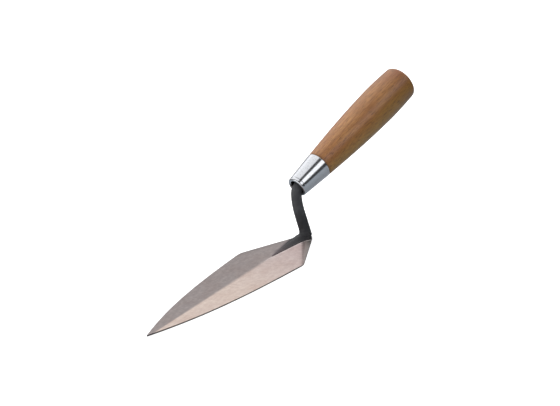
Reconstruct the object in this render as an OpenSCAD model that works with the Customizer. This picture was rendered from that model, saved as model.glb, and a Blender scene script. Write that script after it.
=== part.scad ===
// Pointing trowel: a ground steel blade, a cranked forged shank, a plated ferrule and a turned
// wooden handle. The origin lies on the blade's underside, on its centre line, at the shoulders.
// +X points to the blade's point, +Z up from the face that the blade rests on.

/* [Blade] */
// Length of the blade from its heel to its point
blade_length = 153.8; // [130:0.1:180]
// Width of the blade across its shoulders
blade_width = 70; // [60:1:80]
// Distance from the heel forward to the shoulders
shoulder_setback = 37.8; // [32:0.1:42]
// Width that the blade would have at its heel, if the heel were not rounded
heel_width = 6.7; // [6.5:0.1:9]
// How far each front edge bows out from a straight line
edge_bow = 6.9; // [3:0.1:8]
// How much further that bow sits towards the point
bow_bias = 0.3; // [0:0.05:0.4]
// Thickness of the blade at its shoulders
edge_thickness = 0.9; // [0.7:0.1:1.2]
// Thickness of the ridge at the shoulder line
ridge_thickness = 1.75; // [1.5:0.05:2.2]
// Thickness of the ridge at the point
point_thickness = 1.0; // [0.8:0.1:1.2]
// Thickness of the blade at its heel
heel_thickness = 3.1; // [2.6:0.1:3.6]
// Angle between the ridge and the blade's centre line, in degrees
ridge_skew = 1.4; // [0:0.1:2]
// Width of the rolled-over margin on the rear edges, at the heel
rear_roll_width = 5; // [3:0.5:7]

/* [Shank] */
// Diameter of the shank's round post at its base
post_d = 8.2; // [6:0.1:8.4]
// Diameter of the post in the mouth of the ferrule
post_top_d = 7.2; // [6:0.1:7.2]
// Distance from the heel forward to the middle of the post's base
post_setback = 3.1; // [3:0.1:5]
// Angle by which the straight part of the post leans back, in degrees
post_lean = 0; // [0:0.5:4]
// Length of the triangular foot, from the heel to its tip
foot_length = 38.3; // [30:0.1:42]
// Width that the foot would have at the heel, if the blade didn't narrow there
foot_width = 18.8; // [16:0.2:20]
// Height of the foot's middle line at the heel
foot_height = 5; // [4.5:0.1:6]
// Radius of the slow bend in the upper half of the post
slow_bend_r = 50; // [30:1:60]
// Angle by which the post leans back where the slow bend ends, in degrees
slow_bend_lean = 16; // [12:1:20]
// Radius of the tight bend at the mouth of the ferrule
tight_bend_r = 7.5; // [7:0.5:8]
// Length of the tang inside the handle
tang_length = 64; // [45:1:75]
// Diameter of the tang where it enters the handle
tang_d = 6.2; // [5.5:0.1:6.8]
// Diameter of the tang's end
tang_end_d = 3.6; // [3:0.1:5]

/* [Handle axis] */
// Height of the ferrule's mouth above the blade's underside
mouth_height = 37.4; // [34:0.1:42]
// Distance from the heel back to the middle of the mouth
mouth_setback = 0.7; // [0.2:0.1:2]
// Angle by which the handle rises from the plane of the blade, in degrees
handle_rise = 14.2; // [10:0.1:18]

/* [Ferrule] */
// Length of the ferrule
ferrule_length = 25.2; // [20:0.1:30]
// Outside diameter of the ferrule at its mouth
mouth_d = 15.5; // [14:0.1:16]
// Outside diameter of the ferrule against the wood
ferrule_d = 20.1; // [18:0.1:22]
// Thickness of the ferrule's wall
ferrule_wall = 0.9; // [0.6:0.1:1.2]
// Radius of the lip that is rolled in round the mouth
lip_r = 1.2; // [0.9:0.1:1.2]

/* [Handle] */
// Length of the wooden grip behind the ferrule
grip_length = 99.2; // [80:0.1:110]
// Diameter of the grip against the ferrule
grip_neck_d = 19.9; // [18:0.1:21]
// Largest diameter of the grip
grip_d = 28; // [24:0.1:30]
// Diameter of the grip where its domed butt begins
butt_d = 26.4; // [23:0.1:28]
// Place of the largest diameter, as a share of the grip's length
swell_place = 0.72; // [0.6:0.01:0.8]
// Length of the domed butt
butt_dome = 5; // [4:0.5:8]

/* [Hidden] */
$fn = 96;

// Blade: the shoulders are at x = 0.
heel_x = -shoulder_setback;
point_x = blade_length - shoulder_setback;
edge_steps = 22;         // straight pieces in each front edge
corner_steps = 6;        // straight pieces in each rounded corner
shoulder_corner = 2.2;   // how far a shoulder's rounding reaches along both edges
heel_corner = 8.2;       // how far the heel's rounding reaches along a rear edge
heel_cut = 1.6;          // how far along that edge the rounding's control point lies
reach = 400;             // size of a block that stands for everything under a plane
ridge_fall = (ridge_thickness - point_thickness) / point_x;
side_fall = (ridge_thickness - edge_thickness) / (blade_width / 2);
heel_rise = (heel_thickness - ridge_thickness) / shoulder_setback;
rear_edge = [shoulder_setback, (blade_width - heel_width) / 2];
rear_edge_angle = atan2(rear_edge.y, rear_edge.x);
rear_roll_slope = (heel_thickness - edge_thickness) / rear_roll_width;

// Foot: a low gable on the heel, a little proud of the blade all round.
foot_tip_x = heel_x + foot_length;
foot_tip_height = ridge_thickness + 0.25;
foot_fall = (foot_height - foot_tip_height) / foot_length;
foot_side_fall = 0.25;
foot_inset = 0.6;        // how far the foot keeps inside the blade's rear edges

// Centre line of the neck: up from the foot, a slow bend, a tight bend, then the handle's axis.
// It is worked out from the handle's axis down, so that the tight bend ends on that axis.
axis_lean = 90 - handle_rise;
mouth_x = heel_x - mouth_setback;
base_x = heel_x + post_setback;
base_z = heel_thickness;
slow_run = slow_bend_r * (cos(post_lean) - cos(slow_bend_lean));
slow_rise = slow_bend_r * (sin(slow_bend_lean) - sin(post_lean));
tight_run = tight_bend_r * (cos(slow_bend_lean) - cos(axis_lean));
tight_rise = tight_bend_r * (sin(axis_lean) - sin(slow_bend_lean));
axis_height = mouth_height + (mouth_x - base_x + slow_run + tight_run) * tan(handle_rise);
post_rise = (axis_height - base_z - slow_rise - tight_rise)
    / (1 - tan(post_lean) * tan(handle_rise));
slow_start = [base_x - post_rise * tan(post_lean), base_z + post_rise];
slow_end = slow_start + [-slow_run, slow_rise];
neck_sides = 36;         // flat sides of the neck and tang
slow_steps = 6;
tight_steps = 9;

// Along the handle's axis, measured from the mouth of the ferrule.
spigot_depth = 6;        // where the wood begins inside the ferrule
fit_gap = 0.05;          // clearance of the driven and pressed fits
swell_power = 1.63;      // how fast the grip swells from its neck
dome_power = 2.4;        // how square the domed butt is
dome_start = 1 - butt_dome / grip_length;
grip_steps = 26;
dome_steps = 10;

// Half the blade's width on a front edge, at a share u of the way from the point to the shoulder
function front_half(u) =
    blade_width / 2 * u + edge_bow * 4 * u * (1 - u) * (1 + bow_bias * (1 - 2 * u));

// A rounded corner at c between points a and b, which lie on the two edges that meet there
function corner(a, c, b) = [
    for (i = [0 : corner_steps])
    let (t = i / corner_steps)
    (1 - t) * (1 - t) * a + 2 * t * (1 - t) * c + t * t * b
];

// The point at distance d from p towards q
function towards(p, q, d) = p + d * (q - p) / norm(q - p);

// One side of the blade's outline, from the point round to the middle of the heel
function half_outline() =
    let (
        shoulder = [0, blade_width / 2],
        heel = [heel_x, heel_width / 2],
        heel_middle = [heel_x, 0],
        last = 1 - shoulder_corner / point_x,
        front = [for (i = [0 : edge_steps])
            let (u = last * i / edge_steps) [point_x * (1 - u), front_half(u)]]
    )
    concat(
        front,
        corner(front[edge_steps], shoulder, towards(shoulder, heel, shoulder_corner)),
        corner(towards(heel, shoulder, heel_corner), towards(heel, shoulder, heel_cut), heel_middle)
    );

function mirrored(points) = [for (i = [len(points) - 2 : -1 : 1]) [points[i].x, -points[i].y]];

// Everything under a plane that is z high at the origin and rises by gx along X and gy along Y
module under_plane(z, gx, gy) {
    pitch = -atan(gx);
    translate([0, 0, z])
        rotate([atan(gy * cos(pitch)), pitch, 0])
            translate([-reach / 2, -reach / 2, -reach])
                cube(reach);
}

// Everything under a gable roof whose ridge runs along X
module under_gable(z, gx, side) {
    intersection() {
        under_plane(z, gx, side);
        under_plane(z, gx, -side);
    }
}

// Everything inside and under the rolled-over margin of one rear edge
module under_rear_roll(side) {
    translate([0, side * blade_width / 2, 0])
        rotate([0, 0, side * rear_edge_angle])
            under_plane(edge_thickness, 0, -side * rear_roll_slope);
}

module blade_plan() {
    half = half_outline();
    polygon(concat(half, mirrored(half)));
}

module blade_solid() {
    intersection() {
        linear_extrude(2 * heel_thickness) blade_plan();
        rotate([0, 0, ridge_skew])
            union() {
                under_gable(ridge_thickness, -ridge_fall, side_fall);
                under_gable(ridge_thickness, -heel_rise, side_fall);
            }
        under_rear_roll(1);
        under_rear_roll(-1);
    }
}

module blade() {
    color("silver") blade_solid();
}

module foot() {
    intersection() {
        linear_extrude(2 * foot_height)
            intersection() {
                translate([foot_inset, 0]) blade_plan();
                polygon([[foot_tip_x, 0], [heel_x, foot_width / 2], [heel_x, -foot_width / 2]]);
            }
        translate([foot_tip_x, 0, 0])
            under_gable(foot_tip_height, -foot_fall, foot_side_fall);
    }
}

// Radius of the post at height z, as it tapers from its base to the mouth of the ferrule
function post_r(z) =
    post_d / 2 - (post_d - post_top_d) / 2 * (z - base_z) / (mouth_height - base_z);

// A station of the neck is [x, z, lean, radius]; an arc gives its stations from its start to its end
function arc_stations(start, radius, from, to, steps) = [
    for (i = [1 : steps])
    let (
        lean = from + (to - from) * i / steps,
        x = start.x - radius * (cos(from) - cos(lean)),
        z = start.y + radius * (sin(lean) - sin(from))
    )
    [x, z, lean, post_r(z)]
];

// A station on the handle's axis, at a depth behind the mouth of the ferrule
function axis_station(depth, radius) =
    [mouth_x - depth * cos(handle_rise), mouth_height + depth * sin(handle_rise), axis_lean, radius];

// One ring of points round the centre line
function ring(s) = [
    for (k = [0 : neck_sides - 1])
    let (a = 360 * k / neck_sides, out = s[3] * cos(a))
    [s[0] + out * cos(s[2]), s[3] * sin(a), s[1] + out * sin(s[2])]
];

// The neck and the tang, as one tube along the centre line
module neck_and_tang() {
    stations = concat(
        [[base_x + base_z / 2 * tan(post_lean), base_z / 2, post_lean, post_d / 2],
         [slow_start.x, slow_start.y, post_lean, post_r(slow_start.y)]],
        arc_stations(slow_start, slow_bend_r, post_lean, slow_bend_lean, slow_steps),
        arc_stations(slow_end, tight_bend_r, slow_bend_lean, axis_lean, tight_steps),
        [axis_station(spigot_depth, post_top_d / 2),
         axis_station(spigot_depth, tang_d / 2),
         axis_station(spigot_depth + tang_length, tang_end_d / 2)]
    );
    last = len(stations) - 1;
    n = neck_sides;
    polyhedron(
        points = [for (s = stations) each ring(s)],
        faces = concat(
            [[for (k = [0 : n - 1]) k]],
            [for (i = [0 : last - 1]) for (k = [0 : n - 1])
                [(i + 1) * n + k, (i + 1) * n + (k + 1) % n, i * n + (k + 1) % n, i * n + k]],
            [[for (k = [n - 1 : -1 : 0]) last * n + k]]
        )
    );
}

module shank() {
    color("dimgray")
        difference() {
            union() {
                foot();
                neck_and_tang();
            }
            blade_solid();
        }
}

// Places its children with +Z along the handle's axis and z = 0 in the mouth of the ferrule
module on_handle_axis() {
    translate([mouth_x, 0, mouth_height])
        rotate([0, -axis_lean, 0])
            children();
}

// Radius of the ferrule's inside at a depth s from its mouth
function ferrule_inside(s) =
    mouth_d / 2 - ferrule_wall + (ferrule_d - mouth_d) / 2 * (s - lip_r) / (ferrule_length - lip_r);

module ferrule() {
    lip_middle_r = mouth_d / 2 - lip_r;
    lip = [for (a = [0 : 15 : 180]) [lip_middle_r + lip_r * cos(a), lip_r - lip_r * sin(a)]];
    rear = [
        [ferrule_d / 2 - ferrule_wall, ferrule_length],
        [ferrule_d / 2, ferrule_length]
    ];
    color("lightsteelblue")
        on_handle_axis()
            rotate_extrude()
                polygon(concat(rear, lip, [[ferrule_inside(lip_r), lip_r]]));
}

// Radius of the grip at a share u of its length, ahead of the dome
function grip_r(u) =
    u < swell_place
    ? grip_d / 2 - (grip_d - grip_neck_d) / 2 * pow(1 - u / swell_place, swell_power)
    : grip_d / 2 - (grip_d - butt_d) / 2 * pow((u - swell_place) / (dome_start - swell_place), 2);

module handle() {
    spigot = [
        [0, spigot_depth],
        [ferrule_inside(spigot_depth) - fit_gap, spigot_depth],
        [ferrule_inside(ferrule_length) - fit_gap, ferrule_length]
    ];
    grip = [for (i = [0 : grip_steps])
        let (u = dome_start * i / grip_steps) [grip_r(u), ferrule_length + u * grip_length]];
    dome = [for (i = [1 : dome_steps])
        let (a = 90 * i / dome_steps, rise = sin(a))
        [butt_d / 2 * pow(max(0, 1 - pow(rise, dome_power)), 1 / dome_power),
         ferrule_length + grip_length - butt_dome * (1 - rise)]];
    bore_d = tang_d + 2 * fit_gap;
    bore_end_d = tang_end_d + 2 * fit_gap;
    color("peru")
        on_handle_axis()
            difference() {
                rotate_extrude() polygon(concat(spigot, grip, dome));
                translate([0, 0, spigot_depth])
                    cylinder(d1 = bore_d, d2 = bore_end_d, h = tang_length + 1);
            }
}

blade();
shank();
ferrule();
handle();
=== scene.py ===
import math

import bmesh
import bpy
import numpy as np
from mathutils import Matrix, Vector, noise


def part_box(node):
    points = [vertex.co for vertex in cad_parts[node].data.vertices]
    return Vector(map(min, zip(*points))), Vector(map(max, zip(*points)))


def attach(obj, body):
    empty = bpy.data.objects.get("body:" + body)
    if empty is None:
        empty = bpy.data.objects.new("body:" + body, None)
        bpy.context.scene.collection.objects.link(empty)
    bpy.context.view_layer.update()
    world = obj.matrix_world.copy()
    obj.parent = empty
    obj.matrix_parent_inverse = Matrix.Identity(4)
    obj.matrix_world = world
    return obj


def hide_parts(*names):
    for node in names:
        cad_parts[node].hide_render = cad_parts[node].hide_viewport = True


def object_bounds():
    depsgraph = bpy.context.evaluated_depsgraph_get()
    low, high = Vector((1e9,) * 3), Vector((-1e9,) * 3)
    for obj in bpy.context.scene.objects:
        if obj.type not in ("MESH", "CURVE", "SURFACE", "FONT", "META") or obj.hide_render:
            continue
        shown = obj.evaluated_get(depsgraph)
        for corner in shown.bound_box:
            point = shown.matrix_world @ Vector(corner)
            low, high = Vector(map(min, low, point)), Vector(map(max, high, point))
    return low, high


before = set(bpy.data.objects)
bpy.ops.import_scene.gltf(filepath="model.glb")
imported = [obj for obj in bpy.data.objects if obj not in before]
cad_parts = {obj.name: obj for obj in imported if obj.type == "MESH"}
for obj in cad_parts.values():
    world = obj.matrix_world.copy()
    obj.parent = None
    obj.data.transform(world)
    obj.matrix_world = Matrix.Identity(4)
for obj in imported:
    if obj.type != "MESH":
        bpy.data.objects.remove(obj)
cad_low, cad_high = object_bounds()

# Sizes below are in millimetres and repeat part.scad; MM turns them into metres.
MM = 0.001
blade_low, blade_high = (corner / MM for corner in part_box("blade"))

# Blade
POINT_X = blade_high.x
HEEL_X = blade_low.x
BLADE_WIDTH = 70
HEEL_WIDTH = 6.7
HEEL_CORNER = 8.2
HEEL_CUT = 1.6
EDGE_BOW = 6.9
BOW_BIAS = 0.3
EDGE_THICKNESS = 0.9
RIDGE_THICKNESS = 1.75
POINT_THICKNESS = 1.0
HEEL_THICKNESS = 3.1
RIDGE_SKEW = math.radians(1.4)
REAR_ROLL_WIDTH = 5
REAR_ANGLE = math.atan2((BLADE_WIDTH - HEEL_WIDTH) / 2, -HEEL_X)
EDGE_ROUNDING = 0.16

# Neck
POST_D = 8.2
POST_TOP_D = 7.2
POST_SETBACK = 3.1
SLOW_BEND_R = 50
SLOW_BEND_LEAN = math.radians(16)
TIGHT_BEND_R = 7.5
FOOT_LENGTH = 38.3
FOOT_WIDTH = 18.8
FOOT_HEIGHT = 5
TANG_LENGTH = 64
TANG_D = 6.2
TANG_END_D = 3.6

# Handle and ferrule, along the handle's axis from the mouth of the ferrule
HANDLE_RISE = math.radians(14.2)
MOUTH_HEIGHT = 37.4
MOUTH_SETBACK = 0.7
MOUTH = Vector((HEEL_X - MOUTH_SETBACK, 0, MOUTH_HEIGHT))
FERRULE_LENGTH = 25.2
MOUTH_R = 7.75
FERRULE_R = 10.05
FERRULE_WALL = 0.9
LIP_R = 1.2
LIP_GROOVE = 0.16
SPIGOT_DEPTH = 6
FIT_GAP = 0.05
GRIP_LENGTH = 99.2
GRIP_NECK_R = 9.95
GRIP_R = 14
BUTT_R = 13.2
SWELL_PLACE = 0.72
SWELL_POWER = 1.63
DOME_LENGTH = 5
DOME_POWER = 2.4

ALONG = Vector((-math.cos(HANDLE_RISE), 0, math.sin(HANDLE_RISE)))
ACROSS = Vector((0, 1, 0))
ABOVE = Vector((math.sin(HANDLE_RISE), 0, math.cos(HANDLE_RISE)))


# ---------------------------------------------------------------- small helpers

def smooth_min(a, b, k):
    """The lower of a and b, rounded off over about k where they cross."""
    return 0.5 * (a + b - math.sqrt((a - b) ** 2 + k * k))


def smooth_max(a, b, k):
    return -smooth_min(-a, -b, k)


def ramp(x, low, high):
    """0 below low, 1 above high and a smooth step between."""
    t = min(1, max(0, (x - low) / (high - low)))
    return t * t * (3 - 2 * t)


def wobble(x, y, z, size):
    """Smooth noise from about -1 to 1 that changes over about size millimetres."""
    return noise.noise(Vector((x / size, y / size, z / size)))


def make_piece(name, points, faces, material, node, attributes):
    """A smooth closed mesh from points in millimetres, which replaces one CAD node."""
    mesh = bpy.data.meshes.new(name)
    mesh.from_pydata([Vector(p) * MM for p in points], [], faces)
    for key, values in attributes.items():
        kind = "FLOAT_VECTOR" if np.ndim(values) == 2 else "FLOAT"
        data = mesh.attributes.new(key, kind, "POINT").data
        data.foreach_set("vector" if kind == "FLOAT_VECTOR" else "value",
                         np.asarray(values, np.float32).ravel())
    shape = bmesh.new()
    shape.from_mesh(mesh)
    bmesh.ops.remove_doubles(shape, verts=shape.verts, dist=0.002 * MM)
    bmesh.ops.recalc_face_normals(shape, faces=shape.faces)
    for face in shape.faces:
        face.smooth = True
    shape.to_mesh(mesh)
    shape.free()
    piece = bpy.data.objects.new(name, mesh)
    bpy.context.scene.collection.objects.link(piece)
    mesh.materials.append(material)
    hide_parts(node)
    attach(piece, "root")
    return piece


def grid_faces(rows, columns, wrap):
    """Quads between neighbouring rows of points; wrap closes each row into a ring."""
    last = columns if wrap else columns - 1
    return [(i * columns + j, i * columns + (j + 1) % columns,
             (i + 1) * columns + (j + 1) % columns, (i + 1) * columns + j)
            for i in range(rows - 1) for j in range(last)]


# ---------------------------------------------------------------- materials

class Nodes:
    """A short way to write a node tree."""

    def __init__(self, tree):
        self.tree = tree
        tree.nodes.clear()

    def add(self, kind, **settings):
        node = self.tree.nodes.new(kind)
        for key, value in settings.items():
            setattr(node, key, value)
        return node

    def link(self, source, target):
        self.tree.links.new(source, target)

    def put(self, socket, value):
        if isinstance(value, bpy.types.NodeSocket):
            self.link(value, socket)
        else:
            socket.default_value = value

    def math(self, operation, a, b=0.0, clamp=False):
        node = self.add("ShaderNodeMath", operation=operation, use_clamp=clamp)
        self.put(node.inputs[0], a)
        self.put(node.inputs[1], b)
        return node.outputs[0]

    def vector(self, operation, a, b):
        node = self.add("ShaderNodeVectorMath", operation=operation)
        self.put(node.inputs[0], a)
        self.put(node.inputs[1], b)
        return node.outputs["Value" if operation == "DOT_PRODUCT" else "Vector"]

    def attribute(self, name, output="Fac"):
        return self.add("ShaderNodeAttribute", attribute_name=name).outputs[output]

    def noise(self, where, scale, detail=3.0, roughness=0.5, distortion=0.0):
        node = self.add("ShaderNodeTexNoise")
        self.put(node.inputs["Vector"], where)
        node.inputs["Scale"].default_value = scale
        node.inputs["Detail"].default_value = detail
        node.inputs["Roughness"].default_value = roughness
        node.inputs["Distortion"].default_value = distortion
        return node.outputs["Fac"]

    def map(self, value, low, high, to_low=0.0, to_high=1.0):
        node = self.add("ShaderNodeMapRange", interpolation_type="SMOOTHSTEP")
        for socket, number in zip(node.inputs, (value, low, high, to_low, to_high)):
            self.put(socket, number)
        return node.outputs[0]

    def mix(self, factor, a, b, blend="MIX"):
        node = self.add("ShaderNodeMix", data_type="RGBA", blend_type=blend)
        self.put(node.inputs["Factor"], factor)
        self.put(node.inputs[6], a)
        self.put(node.inputs[7], b)
        return node.outputs[2]

    def bump(self, height, strength, distance, normal=None):
        node = self.add("ShaderNodeBump")
        node.inputs["Strength"].default_value = strength
        node.inputs["Distance"].default_value = distance
        self.put(node.inputs["Height"], height)
        if normal is not None:
            self.link(normal, node.inputs["Normal"])
        return node.outputs[0]


def new_material(name, **constants):
    """A material with one Principled shader; constants are set on the shader's own sockets."""
    material = bpy.data.materials.new(name)
    material.use_nodes = True
    n = Nodes(material.node_tree)
    shader = n.add("ShaderNodeBsdfPrincipled")
    for key, value in constants.items():
        shader.inputs[key.replace("_", " ")].default_value = value
    n.link(shader.outputs[0], n.add("ShaderNodeOutputMaterial").inputs[0])
    return material, n, shader


def rgb(r, g, b):
    """A linear colour from ordinary 0 to 255 screen values."""
    linear = [c / 255 / 12.92 if c <= 10 else ((c / 255 + 0.055) / 1.055) ** 2.4 for c in (r, g, b)]
    return (*linear, 1)


def ground_steel():
    """Blade steel: two ground facets with faint curved cross marks, the far facet in painted shade
    darker than the near one, brown scale beside the foot, a painted highlight line and painted crease
    shadow on the foot's +Y side, and painted shade on the rim.
    """
    material, n, shader = new_material("ground_steel", Metallic=1.0)
    place = n.attribute("place", "Vector")
    facet = n.attribute("facet")
    split = n.add("ShaderNodeSeparateXYZ")
    n.link(place, split.inputs[0])
    x, y = split.outputs[0], split.outputs[1]
    curved = n.math("ADD", x, n.math("MULTIPLY", n.math("MULTIPLY", y, y), 0.006))
    grind = n.add("ShaderNodeCombineXYZ")
    n.put(grind.inputs[0], curved)
    n.put(grind.inputs[1], n.math("MULTIPLY", y, 0.05))
    marks = n.noise(grind.outputs[0], 1.4, 4, 0.6)
    fine_marks = n.noise(grind.outputs[0], 6.0, 2, 0.6)
    mottle = n.noise(place, 0.35, 4, 0.6)
    clouds = n.noise(place, 0.06, 2, 0.5)

    # painted shade: the far facet is painted darker than the near one; the near facet also darkens
    # towards the heel
    far = n.mix(n.map(mottle, 0.35, 0.7), rgb(163, 152, 150), rgb(180, 169, 166))
    near_heel = n.mix(n.map(mottle, 0.35, 0.7), rgb(198, 179, 177), rgb(212, 194, 191))
    near_point = n.mix(n.map(mottle, 0.35, 0.7), rgb(224, 204, 192), rgb(236, 219, 207))
    near = n.mix(n.map(x, -30.0, 55.0), near_heel, near_point)
    colour = n.mix(facet, far, near)
    colour = n.mix(n.map(marks, 0.3, 0.75, 0.0, 0.16), colour, rgb(150, 138, 132), "MULTIPLY")
    speckle = n.noise(place, 1.7, 3, 0.7)
    colour = n.mix(n.map(speckle, 0.45, 0.7, 0.0, 0.14), colour, rgb(120, 112, 110), "MULTIPLY")
    colour = n.mix(n.map(clouds, 0.4, 0.7, 0.0, 0.25), colour, rgb(225, 205, 195), "MULTIPLY")
    margin = n.attribute("rear_margin")
    colour = n.mix(margin, colour, n.mix(n.map(x, -34.0, -19.0), rgb(54, 53, 49), rgb(152, 143, 139)))
    # beside the foot: a painted highlight line and a painted crease shadow on the +Y side, brown scale
    # on the other
    to_foot_tip = n.math("SUBTRACT", HEEL_X + FOOT_LENGTH, x)
    foot_edge = n.math("MULTIPLY", to_foot_tip, FOOT_WIDTH / 2 / FOOT_LENGTH)
    outside = n.math("SUBTRACT", n.math("ABSOLUTE", y, 0.0), foot_edge)
    near_side = n.map(y, -0.3, 0.3)
    fading = n.map(x, -26.0, -2.0, 1.0, 0.0)
    # painted highlight: a thin bright line just outside the foot's +Y edge
    bright = n.math("MULTIPLY", n.map(outside, 0.3, 0.8), n.map(outside, 1.0, 2.0, 0.55, 0.0))
    colour = n.mix(n.math("MULTIPLY", bright, near_side), colour, rgb(240, 232, 230))
    # painted shadow in the crease along the foot's +Y edge
    painted_crease_shadow = n.math("MULTIPLY", n.map(outside, 0.1, 0.7, 1.0, 0.0), n.math("MULTIPLY", near_side, fading))
    colour = n.mix(painted_crease_shadow, colour, rgb(40, 36, 38))
    ragged = n.math("ADD", outside, n.math("MULTIPLY", n.math("SUBTRACT", mottle, 0.5), 3.0))
    brown = n.math("MULTIPLY", n.map(ragged, 0.0, 3.6, 0.9, 0.0), n.math("SUBTRACT", 1.0, near_side))
    brown = n.math("MULTIPLY", brown, n.map(x, -14.0, 4.0, 1.0, 0.0))
    colour = n.mix(brown, colour, rgb(82, 70, 76))
    # painted shade: the blade's rim is darkened
    colour = n.mix(n.math("MULTIPLY", n.attribute("wear_and_painted_shade"), 0.8), colour, rgb(72, 66, 66))
    n.put(shader.inputs["Base Color"], colour)
    n.put(shader.inputs["Metallic"], n.math("SUBTRACT", 1.0, n.math("MULTIPLY", margin, 0.8)))
    polish = n.map(marks, 0.2, 0.8, 0.27, 0.36)
    n.put(shader.inputs["Roughness"], n.math("ADD", polish, n.math("MULTIPLY", margin, 0.25)))
    rough = n.bump(fine_marks, 0.12, 0.02 * MM)
    n.put(shader.inputs["Normal"], n.bump(mottle, 0.10, 0.05 * MM, rough))
    return material


def black_steel():
    """Forged neck under black scale, with painted shade low down and deeper painted shade on the foot,
    and browner scale towards the foot's tip.
    """
    material, n, shader = new_material("black_steel", Specular_IOR_Level=0.3)
    place = n.attribute("place", "Vector")
    grain = n.noise(place, 1.6, 5, 0.6)
    patches = n.noise(place, 0.25, 3, 0.5)
    colour = n.mix(n.map(patches, 0.35, 0.7), rgb(74, 75, 78), rgb(86, 87, 90))
    colour = n.mix(n.map(grain, 0.55, 0.8, 0, 0.5), colour, rgb(88, 89, 92))
    split = n.add("ShaderNodeSeparateXYZ")
    n.link(place, split.inputs[0])
    height = split.outputs[2]
    # painted shade: darker low down on the neck, and darker still on the foot
    low_painted_shade = n.map(height, 13.0, 25.0, 0.6, 0.0)
    foot_painted_shade = n.map(height, 2.5, 6.0, 1.3, 1.0)
    colour = n.mix(n.math("MULTIPLY", low_painted_shade, foot_painted_shade), colour, rgb(36, 35, 37))
    streaks = n.noise(n.vector("MULTIPLY", place, (0.12, 1.1, 1.1)), 1.0, 4, 0.6)
    thinned = n.math("ADD", n.map(split.outputs[0], -33.0, 6.0), n.math("MULTIPLY", streaks, 0.45))
    colour = n.mix(n.map(thinned, 0.45, 1.25), colour, rgb(94, 82, 84))
    rubbed = n.math("MULTIPLY", n.attribute("wear_and_painted_shade"), n.map(grain, 0.45, 0.7, 0, 0.6))
    colour = n.mix(rubbed, colour, rgb(118, 114, 112))
    n.put(shader.inputs["Base Color"], colour)
    n.put(shader.inputs["Roughness"], n.map(grain, 0.3, 0.7, 0.42, 0.58))
    n.put(shader.inputs["Normal"], n.bump(grain, 0.35, 0.08 * MM))
    return material


def plated_steel():
    """Bright plating over drawn steel: fine lengthwise lines and a few soft scuffs."""
    material, n, shader = new_material("plated_steel", Metallic=1.0)
    place = n.attribute("place", "Vector")
    lines = n.noise(n.vector("MULTIPLY", place, (0.05, 2.2, 2.2)), 1.0, 3, 0.6)
    scuffs = n.noise(place, 0.7, 4, 0.65)
    colour = n.mix(n.map(scuffs, 0.45, 0.8, 0, 0.6), rgb(236, 238, 242), rgb(205, 209, 216))
    n.put(shader.inputs["Base Color"], colour)
    n.put(shader.inputs["Roughness"], n.map(scuffs, 0.3, 0.8, 0.10, 0.22))
    n.put(shader.inputs["Normal"], n.bump(lines, 0.10, 0.02 * MM))
    return material


def lacquered_wood():
    """Turned wood: long streaks and short dark pores along the grain, under satin lacquer, with painted
    shade on the grip's lower +Y side, towards the butt and against the ferrule.
    """
    material, n, shader = new_material("lacquered_wood", Coat_Weight=0.4, Coat_Roughness=0.3,
                                       Coat_IOR=1.5)
    place = n.attribute("place", "Vector")
    bend = n.noise(n.vector("MULTIPLY", place, (0.02, 0.08, 0.08)), 1.0, 2, 0.5)
    shift = n.math("MULTIPLY", n.math("SUBTRACT", bend, 0.5), 1.5)
    split = n.add("ShaderNodeSeparateXYZ")
    n.link(place, split.inputs[0])
    bent = n.add("ShaderNodeCombineXYZ")
    n.put(bent.inputs[0], n.math("MULTIPLY", split.outputs[0], 0.035))
    n.put(bent.inputs[1], n.math("ADD", n.math("MULTIPLY", split.outputs[1], 0.55), shift))
    n.put(bent.inputs[2], n.math("MULTIPLY", split.outputs[2], 0.30))
    streaks = n.noise(bent.outputs[0], 1.0, 5, 0.62)
    fibres = n.noise(n.vector("MULTIPLY", place, (0.17, 2.8, 2.8)), 1.0, 4, 0.65)
    pores = n.noise(n.vector("MULTIPLY", place, (0.20, 2.2, 2.2)), 1.0, 2, 0.4)
    broad = n.noise(n.vector("MULTIPLY", place, (0.015, 0.07, 0.07)), 1.0, 2, 0.5)

    colour = n.mix(n.map(streaks, 0.36, 0.66), rgb(174, 117, 67), rgb(197, 141, 84))
    # painted shade: the grip's lower, +Y side is tinted olive
    olive_painted_shade = n.vector("DOT_PRODUCT", place, (0.0, 0.045, -0.07))
    colour = n.mix(n.map(olive_painted_shade, 0.0, 0.8, 0, 0.8), colour, rgb(180, 138, 63))
    colour = n.mix(n.map(broad, 0.38, 0.7, 0, 0.4), colour, rgb(168, 96, 54))
    colour = n.mix(n.map(fibres, 0.42, 0.72, 0, 0.6), colour, rgb(112, 68, 34))
    colour = n.mix(n.map(pores, 0.58, 0.70, 0, 0.55), colour, rgb(86, 50, 26))
    # painted shade: the wood darkens towards the butt
    butt = n.map(split.outputs[0], 55.0, 125.0, 0.0, 0.6)
    colour = n.mix(butt, colour, rgb(214, 204, 198), "MULTIPLY")
    # painted shade: the wood is darkened where it meets the ferrule
    colour = n.mix(n.attribute("wear_and_painted_shade"), colour, rgb(34, 22, 15))
    n.put(shader.inputs["Base Color"], colour)
    n.put(shader.inputs["Roughness"], n.map(fibres, 0.3, 0.8, 0.36, 0.5))
    n.put(shader.inputs["Normal"], n.bump(pores, 0.10, 0.1 * MM, n.bump(fibres, 0.12, 0.05 * MM)))
    return material


# ---------------------------------------------------------------- blade

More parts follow.
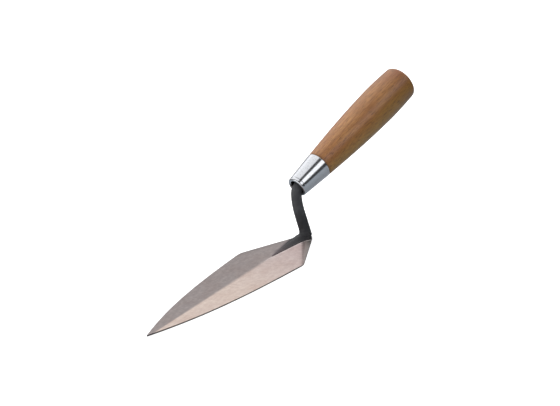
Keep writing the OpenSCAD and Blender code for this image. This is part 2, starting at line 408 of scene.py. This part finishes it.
def half_width(x):
    """Half the blade's width at x: bowed front edges, straight rear edges, rounded corners."""
    u = (POINT_X - x) / POINT_X
    front = BLADE_WIDTH / 2 * u + EDGE_BOW * 4 * u * (1 - u) * (1 + BOW_BIAS * (1 - 2 * u))
    from_heel = x - HEEL_X
    rear = HEEL_WIDTH / 2 + (BLADE_WIDTH - HEEL_WIDTH) / 2 * from_heel / -HEEL_X
    width = smooth_min(front, rear, 0.9)
    round_start = HEEL_CORNER * math.cos(REAR_ANGLE)
    if from_heel < round_start:
        control = HEEL_CUT * math.cos(REAR_ANGLE)
        bend = round_start - 2 * control
        t = (math.sqrt(control * control + bend * from_heel) - control) / bend
        start_y = HEEL_WIDTH / 2 + HEEL_CORNER * math.sin(REAR_ANGLE)
        control_y = HEEL_WIDTH / 2 + HEEL_CUT * math.sin(REAR_ANGLE)
        width = t * t * start_y + 2 * t * (1 - t) * control_y
    return max(0.02, width)


def blade_roof(x, y):
    """Height of the two facets, which meet in the ridge and rise towards the heel."""
    along = x * math.cos(RIDGE_SKEW) + y * math.sin(RIDGE_SKEW)
    across = -x * math.sin(RIDGE_SKEW) + y * math.cos(RIDGE_SKEW)
    side_fall = (RIDGE_THICKNESS - EDGE_THICKNESS) / (BLADE_WIDTH / 2)
    off_ridge = math.sqrt(across * across + 0.3 ** 2) - 0.3
    ridge_fall = (RIDGE_THICKNESS - POINT_THICKNESS) / POINT_X
    heel_rise = (HEEL_THICKNESS - RIDGE_THICKNESS) / -HEEL_X
    ridge = smooth_max(RIDGE_THICKNESS - ridge_fall * along, RIDGE_THICKNESS - heel_rise * along, 0.25)
    return ridge - side_fall * off_ridge


def from_rear_edge(x, y):
    """Distance from a point of the blade to the nearer rear edge."""
    return x * math.sin(REAR_ANGLE) + (BLADE_WIDTH / 2 - abs(y)) * math.cos(REAR_ANGLE)


def rear_roll(x, y):
    """Height of the slope that rolls a rear edge over."""
    return EDGE_THICKNESS + (HEEL_THICKNESS - EDGE_THICKNESS) / REAR_ROLL_WIDTH * from_rear_edge(x, y)


def blade_top(x, y):
    """Height of the blade's upper face, with the rear margins rolled over."""
    top = smooth_min(blade_roof(x, y), rear_roll(x, y), 1.1)
    return max(0.5, top + 0.02 * wobble(x, y, 0, 22))


def foot_half_width(x):
    """Half the width of the foot's triangle at x, before the blade's rear edges cut it."""
    return FOOT_WIDTH / 2 * (HEEL_X + FOOT_LENGTH - x) / FOOT_LENGTH


def rear_margin(x, y):
    """1 on the slope that rolls a rear edge over, fading out past its crest and at the shoulders."""
    crest = REAR_ROLL_WIDTH * (blade_roof(x, y) - EDGE_THICKNESS) / (HEEL_THICKNESS - EDGE_THICKNESS)
    across_crest = 1 - ramp(from_rear_edge(x, y), 0.3 * crest, 1.6 * crest + 0.9)
    return across_crest * (1 - ramp(x, 0.15 * HEEL_X, 0))


def blade_stations():
    """Places along the blade, closer together at the point, the shoulders and the heel."""
    ahead = [POINT_X * (1 - (1 - math.cos(math.pi * i / 110)) / 2) for i in range(110)]
    behind = [HEEL_X * (1 - math.cos(math.pi * i / 60)) / 2 for i in range(61)]
    return ahead + behind


def make_blade():
    """Rows of points across the blade; one attribute marks its rim for painted shade and rear_margin its
    rolled edges.
    """
    half_columns = 26
    shares = [math.sin(math.pi / 2 * i / half_columns) for i in range(half_columns + 1)]
    points, facet, rims, margin = [], [], [], []
    stations = blade_stations()
    for x in stations:
        w = half_width(x)
        r = min(EDGE_ROUNDING, 0.4 * w)
        ridge_y = max(-0.8 * w, min(0.8 * w, math.tan(RIDGE_SKEW) * x))
        flat = w - r
        ys = [ridge_y + (-flat - ridge_y) * s for s in reversed(shares)]
        ys += [ridge_y + (flat - ridge_y) * s for s in shares[1:]]
        row = [(y, blade_top(x, y), 0) for y in ys]
        for side in (1, -1):
            z = blade_top(x, side * flat)
            rim = [(side * (w - 0.3 * r), z - 0.3 * r, 1), (side * w, z - r, 1),
                   (side * w, r, 1), (side * (w - 0.3 * r), 0.3 * r, 1)]
            if side == 1:
                row += rim
                row += [(y, 0, 0) for y in reversed(ys)]
            else:
                row += rim[::-1]
        for y, z, rim_share in row:
            points.append((x, y, z))
            facet.append(ramp(y - math.tan(RIDGE_SKEW) * x, -0.35, 0.35))
            rims.append(rim_share)
            margin.append(rear_margin(x, y) if z > 0.3 else 0)
    columns = len(points) // len(stations)
    faces = grid_faces(len(stations), columns, True)
    faces.append(tuple(range(columns)))
    faces.append(tuple(range(len(points) - columns, len(points))))
    return make_piece("blade_ground", points, faces, ground_steel(), "blade",
                      {"place": np.array(points), "facet": facet, "wear_and_painted_shade": rims,
                       "rear_margin": margin})


# ---------------------------------------------------------------- neck

def post_radius(z):
    """The post tapers a little from its base to the mouth of the ferrule."""
    return POST_D / 2 - (POST_D - POST_TOP_D) / 2 * (z - HEEL_THICKNESS) / (MOUTH.z - HEEL_THICKNESS)


def neck_stations():
    """[x, z, lean, radius] along the neck's centre line, from above the foot to the tang's end."""
    axis_lean = math.pi / 2 - HANDLE_RISE
    base = Vector((HEEL_X + POST_SETBACK, HEEL_THICKNESS))
    slow_run = SLOW_BEND_R * (1 - math.cos(SLOW_BEND_LEAN))
    slow_rise = SLOW_BEND_R * math.sin(SLOW_BEND_LEAN)
    tight_run = TIGHT_BEND_R * (math.cos(SLOW_BEND_LEAN) - math.cos(axis_lean))
    tight_rise = TIGHT_BEND_R * (math.sin(axis_lean) - math.sin(SLOW_BEND_LEAN))
    axis_height = MOUTH.z + (MOUTH.x - base.x + slow_run + tight_run) * math.tan(HANDLE_RISE)
    slow_start = Vector((base.x, axis_height - slow_rise - tight_rise))
    slow_end = slow_start + Vector((-slow_run, slow_rise))

    stations = []
    for i in range(9, 40):
        place = base.lerp(slow_start, i / 40)
        stations.append((place.x, place.y, 0, post_radius(place.y)))
    for start, radius, lean_from, lean_to, steps in (
            (slow_start, SLOW_BEND_R, 0, SLOW_BEND_LEAN, 16),
            (slow_end, TIGHT_BEND_R, SLOW_BEND_LEAN, axis_lean, 18)):
        for i in range(steps):
            lean = lean_from + (lean_to - lean_from) * i / steps
            x = start.x - radius * (math.cos(lean_from) - math.cos(lean))
            z = start.y + radius * (math.sin(lean) - math.sin(lean_from))
            stations.append((x, z, lean, post_radius(z)))
    top = POST_TOP_D / 2
    for depth, radius in ((SPIGOT_DEPTH - 1.5, top), (SPIGOT_DEPTH - 0.3, top),
                          (SPIGOT_DEPTH - 0.05, top - 0.25), (SPIGOT_DEPTH, TANG_D / 2 - 0.1),
                          (SPIGOT_DEPTH + TANG_LENGTH - 1, TANG_END_D / 2),
                          (SPIGOT_DEPTH + TANG_LENGTH - 0.1, TANG_END_D / 2 - 0.9)):
        place = MOUTH + ALONG * depth
        stations.append((place.x, place.z, axis_lean, radius))
    return base, stations


def foot_outline(count, centre):
    """Points round the foot's plan from its tip, closer together where they pass the post."""
    inset = 0.5
    steps = 200
    half = []
    for i in range(steps + 1):
        x = HEEL_X + inset + (FOOT_LENGTH - inset) * (0.5 + 0.5 * math.cos(math.pi * i / steps))
        half.append(Vector((x, max(0, min(foot_half_width(x), half_width(x - inset) - inset)))))
    corners = half + [Vector((p.x, -p.y)) for p in reversed(half)]
    turn_weight = 8
    lengths = [(b - a).length + turn_weight * (a - centre).angle(b - centre, 0)
               for a, b in zip(corners, corners[1:])]
    total = sum(lengths)
    outline, i, passed = [], 0, 0.0
    for k in range(count):
        d = total * k / count
        while d > passed + lengths[i]:
            passed += lengths[i]
            i += 1
        outline.append(corners[i].lerp(corners[i + 1], (d - passed) / max(lengths[i], 1e-9)))
    for _ in range(2):
        outline = [outline[k] * 0.5 + (outline[k - 1] + outline[(k + 1) % count]) * 0.25
                   for k in range(count)]
    return outline


def foot_top(x, y):
    """Height of the foot's upper face: a soft gable that falls forward to its tip."""
    tip_height = RIDGE_THICKNESS + 0.25
    forward = (x - HEEL_X) / FOOT_LENGTH
    middle = FOOT_HEIGHT + (tip_height - FOOT_HEIGHT) * forward
    off_ridge = math.sqrt(y * y + 0.9 ** 2) - 0.9
    return max(blade_top(x, y) + 0.3 - 0.15 * ramp(x, -12, 0), middle - 0.33 * off_ridge)


def make_shank():
    """Foot, post, bends and tang as one sweep of rings; wear_and_painted_shade marks the foot's upper edge."""
    around = 96
    base, stations = neck_stations()
    points, wear_and_shade = [], []
    centre = Vector((base.x, 0))
    start = Vector(stations[0][:2])
    post_r = POST_D / 2
    fillet = 2.0

    def add_ring(ring, ring_wear):
        points.extend(ring)
        wear_and_shade.extend([ring_wear] * len(ring))

    def post_direction(p):
        return (p - centre).normalized()

    # the post stands a little out behind the heel, so there its own circle replaces the foot's outline
    outline = [centre + post_direction(p) * max((p - centre).length, post_r - 0.05)
               for p in foot_outline(around, centre)]
    # the foot's underside, its low side wall and its upper face, drawn in towards the post
    add_ring([(p.x, p.y, max(1.5, blade_top(p.x, p.y) - 0.2)) for p in outline], 0)
    add_ring([(p.x, p.y, foot_top(p.x, p.y) - 0.22) for p in outline], 0.4)
    inner = [centre + post_direction(p) * (post_r + fillet) for p in outline]
    for share in (0.006, 0.02, 0.05, 0.1, 0.18, 0.28, 0.4, 0.52, 0.64, 0.76, 0.88, 1.0):
        ring = []
        for p, q in zip(outline, inner):
            reach = (p - centre).length
            if reach < post_r + fillet + 0.5:
                q = centre + post_direction(p) * max(post_r * 0.98, reach - 0.25)
            s = p.lerp(q, share)
            ring.append((s.x, s.y, foot_top(s.x, s.y) - 0.22 * (1 - ramp(share, 0, 0.02))))
        add_ring(ring, 0.8 if share < 0.03 else 0)
    # the fillet that sweeps up from the foot into the post
    last_ring = points[-around:]
    first_post = []
    for k in range(around):
        d = post_direction(outline[k])
        first_post.append((start.x + d.x * post_r, d.y * post_r, start.y + 1.0))
    for step in range(1, 9):
        t = step / 8
        ring = []
        for (x0, y0, z0), (x1, y1, z1) in zip(last_ring, first_post):
            out = 1 - math.sin(math.pi / 2 * t)
            up = 1 - math.cos(math.pi / 2 * t)
            ring.append((x1 + (x0 - x1) * out, y1 + (y0 - y1) * out, z0 + (z1 - z0) * up))
        add_ring(ring, 0)
    directions = [post_direction(p) for p in outline]
    angles = [math.atan2(d.y, d.x) for d in directions]
    even = [2 * math.pi * k / around for k in range(around)]
    for index, (x, z, lean, radius) in enumerate(stations):
        if z < start.y + 1.05:
            continue
        ring = []
        settle = ramp(index, 0, 22)
        for a, e in zip(angles, even):
            a = a % (2 * math.pi)
            a = a + (e - a) * settle
            square = 1 + 0.022 * (1 - math.cos(4 * a)) * ramp(z, 6, 14)
            r = radius * square * (1 + 0.012 * wobble(x, 4 * a, z, 7)) - 0.05
            out = r * math.cos(a)
            ring.append((x + out * math.cos(lean), r * math.sin(a), z + out * math.sin(lean)))
        add_ring(ring, 0)
    rows = len(points) // around
    faces = grid_faces(rows, around, True)
    faces.append(tuple(range(around)))
    faces.append(tuple(range(len(points) - around, len(points))))
    return make_piece("shank_forged", points, faces, black_steel(), "shank",
                      {"place": np.array(points), "wear_and_painted_shade": wear_and_shade})


# ---------------------------------------------------------------- ferrule and handle

def lathe(profile, around):
    """Rings of points round the handle's axis for a closed profile of (radius, depth)."""
    points, local = [], []
    for radius, depth in profile:
        for k in range(around):
            a = 2 * math.pi * k / around
            y, z = radius * math.cos(a), radius * math.sin(a)
            points.append(MOUTH + ALONG * depth + ACROSS * y + ABOVE * z)
            local.append((depth, y, z))
    return points, local


def arc(centre_r, centre_depth, radius, start, end, steps):
    """Profile points on an arc; angles are in degrees from +radius towards -depth."""
    turns = [math.radians(start + (end - start) * i / steps) for i in range(steps + 1)]
    return [(centre_r + radius * math.cos(a), centre_depth - radius * math.sin(a)) for a in turns]


def ferrule_outside(depth):
    """Outside radius of the ferrule at a depth behind its mouth."""
    return MOUTH_R + (FERRULE_R - MOUTH_R) * (depth - LIP_R) / (FERRULE_LENGTH - LIP_R)


def make_ferrule():
    """Inside wall, rear rim, tapered outside, shallow groove and rolled lip, turned round the axis."""
    around = 128
    rear = FERRULE_LENGTH
    profile = [(ferrule_outside(SPIGOT_DEPTH) - FERRULE_WALL, SPIGOT_DEPTH)]
    profile += [(FERRULE_R - FERRULE_WALL, rear - 0.05)]
    profile += [(FERRULE_R - 0.5, rear), (FERRULE_R - 0.15, rear), (FERRULE_R - 0.02, rear - 0.12)]
    body = [rear - 0.4 - (rear - 3.4) * i / 24 for i in range(25)]
    profile += [(ferrule_outside(s), s) for s in body]
    profile += [(ferrule_outside(2.9) - 0.01, 2.9), (ferrule_outside(2.6) - LIP_GROOVE, 2.6),
                (ferrule_outside(2.3) - LIP_GROOVE, 2.3), (ferrule_outside(2.0) - 0.01, 2.0)]
    profile += arc(MOUTH_R - LIP_R, LIP_R, LIP_R, -10, 180, 20)
    profile += [(MOUTH_R - 2 * LIP_R + 0.1, LIP_R + 0.4), (MOUTH_R - FERRULE_WALL - 0.15, LIP_R + 0.9)]
    points, local = lathe(profile, around)
    faces = grid_faces(len(profile), around, True)
    last = (len(profile) - 1) * around
    faces += [(last + k, last + (k + 1) % around, (k + 1) % around, k) for k in range(around)]
    return make_piece("ferrule_plated", points, faces, plated_steel(), "ferrule",
                      {"place": np.array(local)})


def grip_radius(u):
    """Radius of the grip at a share u of its length, ahead of the dome."""
    if u < SWELL_PLACE:
        return GRIP_R - (GRIP_R - GRIP_NECK_R) * (1 - u / SWELL_PLACE) ** SWELL_POWER
    past = (u - SWELL_PLACE) / (1 - DOME_LENGTH / GRIP_LENGTH - SWELL_PLACE)
    return GRIP_R - (GRIP_R - BUTT_R) * past ** 2


def make_handle():
    """Tang bore, spigot, grip and domed butt, with painted shade that darkens the wood against the
    ferrule.
    """
    around = 144
    spigot_r = ferrule_outside(SPIGOT_DEPTH) - FERRULE_WALL - FIT_GAP
    rear_r = FERRULE_R - FERRULE_WALL - FIT_GAP
    bore_end = SPIGOT_DEPTH + TANG_LENGTH
    profile = [(0.02, bore_end + 0.9), (TANG_END_D / 2 + FIT_GAP, bore_end + 0.8),
               (TANG_D / 2 + FIT_GAP, SPIGOT_DEPTH),
               (spigot_r - 0.2, SPIGOT_DEPTH), (spigot_r, SPIGOT_DEPTH + 0.3),
               (rear_r, FERRULE_LENGTH - 0.02), (rear_r + 0.25, FERRULE_LENGTH + 0.02)]
    wear_and_shade = [1, 1, 1, 1, 1, 1, 0.7]
    dome_start = 1 - DOME_LENGTH / GRIP_LENGTH
    for i in range(91):
        u = dome_start * i / 90
        neck = 0.35 * math.exp(-u * GRIP_LENGTH / 0.35)
        profile.append((grip_radius(u) - neck - 0.03, FERRULE_LENGTH + 0.05 + u * GRIP_LENGTH))
        wear_and_shade.append(0.5 * math.exp(-u * GRIP_LENGTH / 0.8))
    for i in range(1, 25):
        rise = math.sin(math.pi / 2 * i / 24)
        radius = BUTT_R * max(0, 1 - rise ** DOME_POWER) ** (1 / DOME_POWER) - 0.03
        depth = FERRULE_LENGTH + GRIP_LENGTH - 0.02 - DOME_LENGTH * (1 - rise)
        profile.append((max(0.02, radius), depth))
        wear_and_shade.append(0)
    points, local = lathe(profile, around)
    faces = grid_faces(len(profile), around, True)
    faces.append(tuple(range(around)))
    faces.append(tuple(range(len(points) - around, len(points))))
    return make_piece("handle_turned", points, faces, lacquered_wood(), "handle",
                      {"place": np.array(local), "wear_and_painted_shade": np.repeat(wear_and_shade, around)})


# ---------------------------------------------------------------- floor, light and camera

def make_floor():
    """A wide pale floor; all but camera rays see a cool grey that darkens away from the part."""
    mesh = bpy.data.meshes.new("floor")
    half, z = 6.0, cad_low.z - 0.0002
    corners = [(-half, -half, z), (half, -half, z), (half, half, z), (-half, half, z)]
    mesh.from_pydata(corners, [], [(0, 1, 2, 3)])
    floor = bpy.data.objects.new("floor", mesh)
    bpy.context.scene.collection.objects.link(floor)
    material = bpy.data.materials.new("pale_floor")
    material.use_nodes = True
    n = Nodes(material.node_tree)
    diffuse = n.add("ShaderNodeBsdfDiffuse")
    seen_by = n.add("ShaderNodeLightPath")
    away = n.add("ShaderNodeVectorMath", operation="LENGTH")
    n.link(n.add("ShaderNodeTexCoord").outputs["Object"], away.inputs[0])
    is_camera = seen_by.outputs["Is Camera Ray"]
    distance = n.map(away.outputs["Value"], 0.17, 0.4)
    reflected = n.mix(distance, (0.32, 0.345, 0.37, 1), (0.06, 0.065, 0.07, 1))
    n.put(diffuse.inputs["Color"], n.mix(is_camera, reflected, (0.97, 0.97, 0.97, 1)))
    glow = n.add("ShaderNodeEmission")
    n.put(glow.inputs["Strength"], n.math("MULTIPLY", is_camera, 0.6))
    both = n.add("ShaderNodeAddShader")
    n.link(diffuse.outputs[0], both.inputs[0])
    n.link(glow.outputs[0], both.inputs[1])
    n.link(both.outputs[0], n.add("ShaderNodeOutputMaterial").inputs[0])
    mesh.materials.append(material)


def make_world():
    """White for the camera; the part sees a tent banded round the handle's axis.

    Glossy rays also see a darker room and a bright window beyond the mouth of the ferrule.
    """
    world = bpy.data.worlds.new("studio")
    world.use_nodes = True
    bpy.context.scene.world = world
    n = Nodes(world.node_tree)
    direction = n.add("ShaderNodeTexCoord").outputs["Generated"]
    up = n.vector("DOT_PRODUCT", direction, tuple(ABOVE))
    side = n.vector("DOT_PRODUCT", direction, tuple(ACROSS))
    turn = n.math("ARCTAN2", up, side)
    share = n.math("ADD", n.math("DIVIDE", turn, 2 * math.pi), 0.5)
    bands = n.add("ShaderNodeValToRGB")
    n.put(bands.inputs[0], share)
    # [angle round the axis from the +Y side, brightness]
    stops = [(-180, 0.30), (-26, 0.30), (-18, 0.05), (9, 0.05), (15, 1.2), (41, 1.2), (46, 0.07),
             (65, 0.07), (70, 0.85), (120, 0.95), (150, 1.15), (161, 0.95), (170, 0.5), (180, 0.35)]
    elements = bands.color_ramp.elements
    while len(elements) < len(stops):
        elements.new(0.5)
    # the ramp sorts itself, so every stop is in its place before any is coloured
    for element, (angle, _) in zip(elements, stops):
        element.position = (angle + 180) / 360
    for element, (_, level) in zip(elements, stops):
        element.color = (level, level, level * 1.01, 1)
    mouthward = n.vector("DOT_PRODUCT", direction, tuple(-ALONG))
    seen_by = n.add("ShaderNodeLightPath")
    room = n.math("MULTIPLY", n.map(mouthward, -0.15, 0.2, 0.0, 0.75), seen_by.outputs["Is Glossy Ray"])
    window = n.math("MULTIPLY", n.map(mouthward, 0.6, 0.8, 0.0, 1.6), seen_by.outputs["Is Glossy Ray"])
    background = n.add("ShaderNodeBackground")
    plain = n.add("ShaderNodeBackground")
    plain.inputs["Color"].default_value = (1, 1, 1, 1)
    n.put(background.inputs["Color"], n.mix(room, bands.outputs[0], (0.03, 0.03, 0.03, 1)))
    shine = n.add("ShaderNodeBackground")
    n.put(shine.inputs["Strength"], window)
    both = n.add("ShaderNodeAddShader")
    n.link(background.outputs[0], both.inputs[0])
    n.link(shine.outputs[0], both.inputs[1])
    mixed = n.add("ShaderNodeMixShader")
    n.link(seen_by.outputs["Is Camera Ray"], mixed.inputs[0])
    n.link(both.outputs[0], mixed.inputs[1])
    n.link(plain.outputs[0], mixed.inputs[2])
    n.link(mixed.outputs[0], n.add("ShaderNodeOutputWorld").inputs[0])


def make_light(name, azimuth, elevation, distance, size, power):
    """A square soft light that faces the object."""
    light = bpy.data.lights.new(name, "AREA")
    light.shape = "SQUARE"
    light.size = size
    light.energy = power
    lamp = bpy.data.objects.new(name, light)
    a, e = math.radians(azimuth), math.radians(elevation)
    out = Vector((math.cos(e) * math.cos(a), math.cos(e) * math.sin(a), math.sin(e)))
    lamp.location = out * distance
    lamp.rotation_euler = out.to_track_quat("Z", "Y").to_euler()
    lamp.visible_camera = False
    lamp.visible_glossy = False
    bpy.context.scene.collection.objects.link(lamp)


def make_camera():
    """The camera looks at a point near the neck from ahead and to one side, and is rolled."""
    azimuth, elevation, roll = math.radians(54.74), math.radians(20.23), math.radians(-17.28)
    aim = Vector((POINT_X - 147.9, -15.4, 26.9)) * MM
    distance = 1.456
    back = Vector((math.cos(elevation) * math.cos(azimuth), math.cos(elevation) * math.sin(azimuth),
                   math.sin(elevation)))
    right = Vector((0, 0, 1)).cross(back).normalized()
    up = back.cross(right)
    turned_right = right * math.cos(roll) + up * math.sin(roll)
    turned_up = back.cross(turned_right)
    data = bpy.data.cameras.new("camera")
    data.lens = 131.65
    data.sensor_width = 36
    data.clip_start = 0.05
    camera = bpy.data.objects.new("camera", data)
    camera.matrix_world = Matrix.Translation(aim + back * distance) @ Matrix(
        (turned_right, turned_up, back)).transposed().to_4x4()
    bpy.context.scene.collection.objects.link(camera)
    bpy.context.scene.camera = camera


make_blade()
make_shank()
make_ferrule()
make_handle()
make_floor()
make_world()
make_light("key", 235, 55, 1.6, 1.4, 10)
make_camera()
bpy.context.scene.view_settings.view_transform = "Standard"
